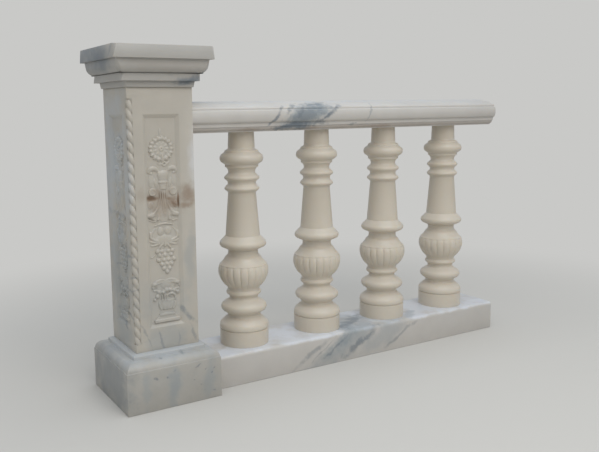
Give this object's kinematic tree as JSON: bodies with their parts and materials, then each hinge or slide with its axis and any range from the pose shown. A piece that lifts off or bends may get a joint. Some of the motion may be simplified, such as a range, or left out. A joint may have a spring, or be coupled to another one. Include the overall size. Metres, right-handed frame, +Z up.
{
  "type": "stone balustrade",
  "caption": "Marble balustrade: turned, gadrooned balusters between a base rail and a moulded handrail, ending in a carved pedestal post with a moulded cap.",
  "frame": {"origin": "centre of the pedestal post's square foot, on the ground", "axes": "+Z up, +X along the rails away from the post, +Y towards the back"},
  "size_m": [1.52, 0.302, 1.046],
  "materials": {
    "veined_marble": "honed white marble with grey veins",
    "cream_marble": "honed plain cream marble"
  },
  "bodies": {
    "root": {"post_base": "veined_marble", "post_shaft": "veined_marble", "post_cap": "veined_marble", "base_rail": "veined_marble", "handrail": "veined_marble", "baluster_1": "cream_marble", "baluster_2": "cream_marble", "baluster_3": "cream_marble", "baluster_4": "cream_marble"}
  },
  "joints": []
}
